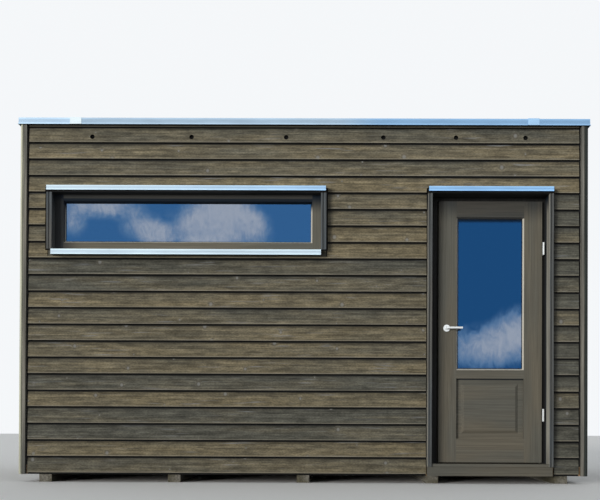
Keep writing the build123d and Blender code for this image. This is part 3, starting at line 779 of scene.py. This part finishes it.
class SAUNA_OT_joinery(bpy.types.Operator):
    """Finish the corner posts, casings, window frame, door frame and door leaf"""

    bl_idname = "sauna.joinery"
    bl_label = "Posts, casings and frames"

    def execute(self, context):
        wood = context.scene.sauna_timber
        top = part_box("window_frame_stiles")[1].z
        # Painted shade under the heads of the window and the casings
        head = (UP, top - 0.21, top - 0.06, 1.0)
        stain = (wood.joinery, wood.joinery_warm)
        self.posts(wood)
        self.casings(wood, head)
        self.window(wood, stain, head)
        self.door(wood, stain)
        return {"FINISHED"}

    def posts(self, wood):
        """Corner posts, painted lit on their outer edges at the left end of the cabin and painted in shade at
        the right.
        """
        dress(timber("post_timber", wood.post, wood.post_warm, "Z", 1.5), "corner_posts")
        low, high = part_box("corner_posts")
        out = high.y - 0.6 * wood.edge
        # Painted light on the left posts' outer edges, painted shade on the right ones
        for name, tint, end, side in (("sunny_post", wood.sunny, low.x + wood.edge, -1),
                                      ("painted_shade_post", wood.painted_shade_edge, high.x - wood.edge, 1)):
            face_some(timber(name, tint, tint, "Z", 1.2),
                      lambda centre, normal: (np.abs(centre[:, 1]) > out) & (side * (centre[:, 0] - end) > 0),
                      "corner_posts")

    def casings(self, wood, head):
        """Casings round the window and the door, painted lit on their sunny side, with painted shade under
        the heads and on the head boards.
        """
        # Painted shade under the head and in the root of the casings' sides
        shades = (head, (BACK, *JAMB_ROOT, 0.93))
        jambs = ("window_casing_jambs", "door_casing_jambs")
        dress(timber("casing_timber", wood.casing, wood.casing_warm, "Z", 1.4, shades=shades), *jambs)
        # Painted light on the sides that face the key light
        face_some(timber("painted_light_casing", wood.painted_light_side, wood.post_warm, "Z", 1.2, shades=shades),
                  lambda centre, normal: normal[:, 0] < -0.9, *jambs)
        # Head boards painted near black as the shade under the flashings
        dress(timber("shaded_timber", wood.shaded, wood.frame, "X", 0.5),
              "window_head_board", "door_head_board")
        dress(timber("sill_timber", wood.bearer, wood.joinery, "X", 0.8), "window_sill_board")

    def window(self, wood, stain, head):
        """Window frame and beads, with painted shade at the head and at the left."""
        low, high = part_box("window_frame_stiles")
        left, glass_left, glass_top = -low.x, -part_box("window_beads")[0].x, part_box("window_beads")[1].z
        # Painted shade cast by the left casing over the stile and the rails
        stile_side = (LEFT, left - 0.13, left - 0.10, 0.82)
        rail_side = (LEFT, left - 0.26, left - 0.10, 0.62)
        dress(timber("joinery_upright", *stain, "Z", *PLANED, (head, stile_side)), "window_frame_stiles")
        dress(timber("joinery_level", *stain, "X", *PLANED, (head, rail_side)), "window_frame_rails")
        # Painted shade over the top rail, darkest just above the glass
        rail_head = (UP, glass_top - 0.02, glass_top - 0.01, 0.70)
        rail_foot = (DOWN, -glass_top - 0.024, -glass_top - 0.016, 1.0)
        face_some(timber("joinery_top_rail", *stain, "X", *PLANED, (rail_head, rail_foot)),
                  lambda centre, normal: centre[:, 2] > glass_top - MM, "window_frame_rails")
        # Painted shade at the beads' head and on the left bead
        bead_head = (UP, high.z - 0.19, high.z - 0.12, 1.0)
        bead_side = (LEFT, glass_left - 0.0080, glass_left - 0.0065, 0.88)
        dress(timber("window_bead_timber", wood.bead, wood.bead, "Z", *SMOOTH, (bead_head, bead_side)),
              "window_beads")

    def door(self, wood, stain):
        """Door frame, leaf and beads, each with painted shade at its head; the frame is painted dark as
        shade.
        """
        light_top, leaf_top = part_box("door_beads")[1].z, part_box("door_stiles")[1].z
        panel_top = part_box("door_lower_panel")[1].z
        # Painted shade under the leaf's head and under the mid rail
        for name, along, head, *nodes in (
            ("door_upright", "Z", (UP, light_top - 0.075, leaf_top, 0.66), "door_stops", "door_stiles"),
            ("door_level", "X", (UP, light_top - 0.310, leaf_top, 0.62), "door_threshold", "door_rails"),
            ("door_panel", "X", (UP, panel_top - 0.014, panel_top - 0.005, 0.85), "door_lower_panel"),
        ):
            dress(timber(name, *stain, along, *PLANED, (head,)), *nodes)
        # The door frame behind the leaf, painted near black as shade
        dress(timber("frame_timber", wood.frame, wood.frame, "Z", 0.6, 0.7),
              "door_frame_posts", "door_frame_head")
        # Painted shade on the top bead
        bead_head = (UP, light_top - 0.013, light_top - 0.009, 0.88)
        dress(timber("door_bead_timber", wood.bead, wood.bead, "Z", *SMOOTH, (bead_head,)), "door_beads")


class SAUNA_OT_metal_edges(bpy.types.Operator):
    """Finish the roof edges, their joint covers and the flashings"""

    bl_idname = "sauna.metal_edges"
    bl_label = "Roof edges and flashings"

    def execute(self, context):
        metal = context.scene.sauna_metal
        low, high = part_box("roof_trim_front")
        first = (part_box("trim_joint_covers")[0].x + metal.half_cover, metal.first_sheet)
        edge = sheet_metal("roof_edge_sheet", metal.pale, metal.blue, [(low.z, high.z)],
                           turn=ROOF_EDGE_TURN, first=first)
        dress(edge, "roof_trim_front", "roof_trim_back", "roof_trim_left", "roof_trim_right")
        low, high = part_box("door_head_flashing")
        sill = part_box("window_flashings")[0].z
        folds = [(low.z, high.z), (sill, sill + (high.z - low.z))]
        dress(sheet_metal("flashing_sheet", metal.flashing, metal.flashing_blue, folds),
              "window_flashings", "door_head_flashing")
        dress(sheet_metal("cover_sheet", metal.cover, metal.cover_blue), "trim_joint_covers")
        return {"FINISHED"}


class SAUNA_OT_roof(bpy.types.Operator):
    """Lay the roof felt in lapped strips"""

    bl_idname = "sauna.roof"
    bl_label = "Roof"

    def execute(self, context):
        roof = context.scene.sauna_roof
        low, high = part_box("roof_membrane")
        top = high.z - low.z
        shell = Shell()
        count = math.ceil((high.x - low.x) / roof.strip)
        pitch = (high.x - low.x) / count
        for strip in range(count):
            start = low.x + strip * pitch
            end = min(start + pitch + roof.lap, high.x)
            crest = top * (1.5 if strip else 0.6)
            profile = ((start, 0.0), (end, 0.0), (end, top * 0.5), (start + roof.lap, top * 0.6),
                       (start + roof.lap * 0.9, crest), (start, crest))
            shell.add(*capped(straight(profile, (0, low.y, low.z), (0, high.y, low.z))))
        piece = shell.piece("roof_felt_strips", dull("roof_felt", roof.felt, 0.9, 420.0, 0.0006), CABIN)
        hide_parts("roof_membrane")
        wood = context.scene.sauna_timber
        dress(timber("deck_board", wood.bearer, wood.post_warm, "X"), "roof_deck")
        return {"FINISHED"}


def opening(node):
    """Lowest and highest place across and up of the opening inside a ring of beads."""
    points = points_of(node)[:, [0, 2]]
    low, high = points.min(0), points.max(0)
    middle, margin = (low + high) / 2, 0.1 * (high - low)
    return (np.where(points < middle - margin, points, low).max(0),
            np.where(points > middle + margin, points, high).min(0))


def sealed_unit(name, body, face_material, edge_material, glass, gasket):
    """A sealed unit in place of a solid sheet of glass: two thin panes and a dark spacer between,
    with a dark gasket against the beads on both sides."""
    low, high = (np.array(corner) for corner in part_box(name + "_glass"))
    outline = ((low[0], low[2]), (high[0], low[2]), (high[0], high[2]), (low[0], high[2]))
    shell = Shell()
    for front, back in ((low[1], low[1] + glass.pane), (high[1] - glass.pane, high[1])):
        shell.add(*capped(straight(outline, (0, front, 0), (0, back, 0))))
    panes = shell.piece(name + "_panes", face_material, body)
    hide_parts(name + "_glass")

    shell = Shell()
    shell.add(*ring_bar(low[[0, 2]], high[[0, 2]], glass.spacer, low[1] + glass.pane, high[1] - glass.pane))
    for front, back in ((low[1] - glass.gasket_depth, low[1]), (high[1], high[1] + glass.gasket_depth)):
        shell.add(*ring_bar(*opening(name + "_beads"), gasket, front, back))
    edge = shell.piece(name + "_spacer_and_gaskets", edge_material, body)


class SAUNA_OT_glazing(bpy.types.Operator):
    """Glaze the window and the door with sealed units"""

    bl_idname = "sauna.glazing"
    bl_label = "Glazing"

    def execute(self, context):
        glass = context.scene.sauna_glass
        edge = dull("spacer_edge", (0.004, 0.004, 0.004), 0.7, 200.0, 0.0001)
        window = painted_sky_glass("window_glass_face", glass.deep, glass, (2.6, 1.0, 4.4), (0.35, 0.0, 0.0),
                              WINDOW_CLOUDS)
        light_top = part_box("door_beads")[1].z
        leaf = painted_sky_glass("door_glass_face", glass.door_deep, glass, (2.6, 1.0, 2.6), (7.3, 0.0, 4.1),
                            DOOR_CLOUDS, (light_top - 0.048, light_top - 0.024))
        sealed_unit("window", CABIN, window, edge, glass, glass.gasket)
        sealed_unit("door", DOOR, leaf, edge, glass, glass.door_gasket)
        return {"FINISHED"}


class SAUNA_OT_door_furniture(bpy.types.Operator):
    """Finish the lever handles and the barrel hinges"""

    bl_idname = "sauna.door_furniture"
    bl_label = "Handles and hinges"

    def execute(self, context):
        tint = context.scene.sauna_metal.steel
        dress(sheet_metal("door_steel", tint, tint, (), 0.28), "door_handles", "hinge_pins", "hinge_knuckles")
        low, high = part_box("hinge_pins")
        axis, radius = (low.x + high.x) / 2, (high.x - low.x) / 2
        # The hinges' plates and necks, painted near black as the shade round the barrels
        plate_shade = dull("hinge_plate_painted_shade", (0.010, 0.010, 0.010), 0.6, 200.0, 0.0001)
        face_some(plate_shade, lambda centre, normal: np.abs(centre[:, 0] - axis) > radius - 0.1 * MM,
                  "hinge_pins", "hinge_knuckles")
        return {"FINISHED"}


class SAUNA_OT_room(bpy.types.Operator):
    """Line the room and finish the floor, ceiling and ground bearers"""

    bl_idname = "sauna.room"
    bl_label = "Room and base"

    def execute(self, context):
        wood = context.scene.sauna_timber
        walls_x = ("front_wall_left", "front_wall_under_window", "front_wall_middle",
                   "front_wall_right", "front_wall_top", "back_wall")
        walls_y = ("left_wall", "right_wall")
        for name, along, boards, nodes in (
            ("lining_board", "X", ("Z", 0.095), walls_x),
            ("side_lining_board", "Y", ("Z", 0.095), walls_y),
            ("flat_board", "X", ("Y", 0.12), ("ceiling_panel", "floor_deck")),
        ):
            dress(timber(name, wood.lining, wood.lining_warm, along, 0.8, 0.55, 60.0, boards=boards), *nodes)
        membrane = dull("wall_membrane", (0.008, 0.008, 0.009), 0.85, 260.0, 0.0003)
        face_some(membrane, lambda centre, normal: (centre * normal)[:, :2].sum(1) > 1.0, *walls_x, *walls_y)
        dress(timber("bearer", wood.bearer, wood.post_warm, "Y", 1.3, 0.85, 70.0), "ground_bearers")
        return {"FINISHED"}


# Stage


def seen(tree):
    """One for rays that the eye sees, straight, mirrored or through glass, and none for light."""
    path = add_node("LightPath", {}, "Is Camera Ray", tree)
    either = calc("MAXIMUM", path, path.beside("Is Glossy Ray"))
    return calc("MAXIMUM", either, path.beside("Is Transmission Ray"))


class SAUNA_OT_stage(bpy.types.Operator):
    """Set the floor, the lights and the camera"""

    bl_idname = "sauna.stage"
    bl_label = "Stage"

    def execute(self, context):
        scene = context.scene
        for part in (self.floor, self.world, self.key_light, self.camera):
            part(scene, scene.sauna_stage)
        scene.view_settings.view_transform = "Standard"
        return {"FINISHED"}

    def floor(self, scene, stage):
        """A wide round floor, pale to the eye and in reflections and dark to bounced light: points
        at the cosine and sine of even angles times the radius."""
        angle = np.linspace(0, 2 * math.pi, 96, endpoint=False)
        points = np.stack((np.cos(angle), np.sin(angle), np.zeros(96)), axis=1) * stage.radius
        mesh = bpy.data.meshes.new("stage_floor")
        mesh.from_pydata(points.tolist(), [], [list(range(96))])
        material, spot = begin("stage_floor")
        tint = blend(seen(spot.tree), (0.03, 0.03, 0.03), stage.floor)
        mesh.materials.append(finish(material, tint, 0.9))
        floor = linked("stage_floor", mesh)

    def world(self, scene, stage):
        """An even sky for the light, and a paler one where the camera or a reflection sees it."""
        world = bpy.data.worlds.new("stage_world")
        world.use_nodes = True
        tree = world.node_tree
        tree.nodes.clear()
        sky = add_node("Background", {"Color": (0.93, 0.97, 1.0), "Strength": stage.sky}, tree=tree)
        seen_sky = add_node("Background", {"Color": (0.93, 0.95, 0.97), "Strength": 0.98}, tree=tree)
        mixed = add_node("MixShader", {0: seen(tree), 1: sky, 2: seen_sky})
        feed(tree.nodes.new("ShaderNodeOutputWorld").inputs["Surface"], mixed)
        scene.world = world

    def key_light(self, scene, stage):
        """A soft light from the upper left of the front."""
        lamp = bpy.data.lights.new("key_light", "SUN")
        lamp.energy = stage.key
        lamp.angle = math.radians(stage.spread)
        lamp.color = (1.0, 0.975, 0.93)
        light = linked("key_light", lamp)
        light.rotation_euler = Vector(stage.travel).to_track_quat("-Z", "Y").to_euler()
        light.visible_glossy = False

    def camera(self, scene, stage):
        """The camera low in front of the cabin, looking level with a raised frame."""
        lens = bpy.data.cameras.new("camera")
        lens.lens, lens.shift_x, lens.shift_y = stage.lens, stage.shift_x, stage.shift_y
        lens.sensor_width = 36.0
        lens.sensor_fit = "HORIZONTAL"
        lens.clip_end = 200.0
        aim = Matrix.Translation(stage.camera)
        for degrees, axis in ((-stage.turn, "Z"), (90 + stage.tilt, "X"), (stage.roll, "Z")):
            aim = aim @ Matrix.Rotation(math.radians(degrees), 4, axis)
        scene.camera = linked("camera", lens)
        scene.camera.matrix_world = aim


class SAUNA_PT_panel(bpy.types.Panel):
    """Lists the steps that finish the sauna"""

    bl_label = "Sauna"
    bl_idname = "SAUNA_PT_panel"
    bl_space_type = "VIEW_3D"
    bl_region_type = "UI"
    bl_category = "Sauna"

    def draw(self, context):
        for step in STEPS:
            self.layout.operator(step.bl_idname)


SETTINGS = {
    "sauna_boards": BoardSettings,
    "sauna_timber": TimberSettings,
    "sauna_metal": MetalSettings,
    "sauna_glass": GlassSettings,
    "sauna_roof": RoofSettings,
    "sauna_stage": StageSettings,
}
STEPS = (SAUNA_OT_cladding, SAUNA_OT_joinery, SAUNA_OT_metal_edges, SAUNA_OT_roof, SAUNA_OT_glazing,
         SAUNA_OT_door_furniture, SAUNA_OT_room, SAUNA_OT_stage)
CLASSES = (*SETTINGS.values(), *STEPS, SAUNA_PT_panel)


def register():
    for kind in CLASSES:
        bpy.utils.register_class(kind)
    for name, kind in SETTINGS.items():
        setattr(bpy.types.Scene, name, PointerProperty(type=kind))


def unregister():
    for name in SETTINGS:
        delattr(bpy.types.Scene, name)
    for kind in CLASSES[::-1]:
        bpy.utils.unregister_class(kind)


def main():
    """Runs every step in order."""
    register()
    bpy.ops.sauna.cladding()
    bpy.ops.sauna.joinery()
    bpy.ops.sauna.metal_edges()
    bpy.ops.sauna.roof()
    bpy.ops.sauna.glazing()
    bpy.ops.sauna.door_furniture()
    bpy.ops.sauna.room()
    bpy.ops.sauna.stage()


if __name__ == "__main__":
    main()
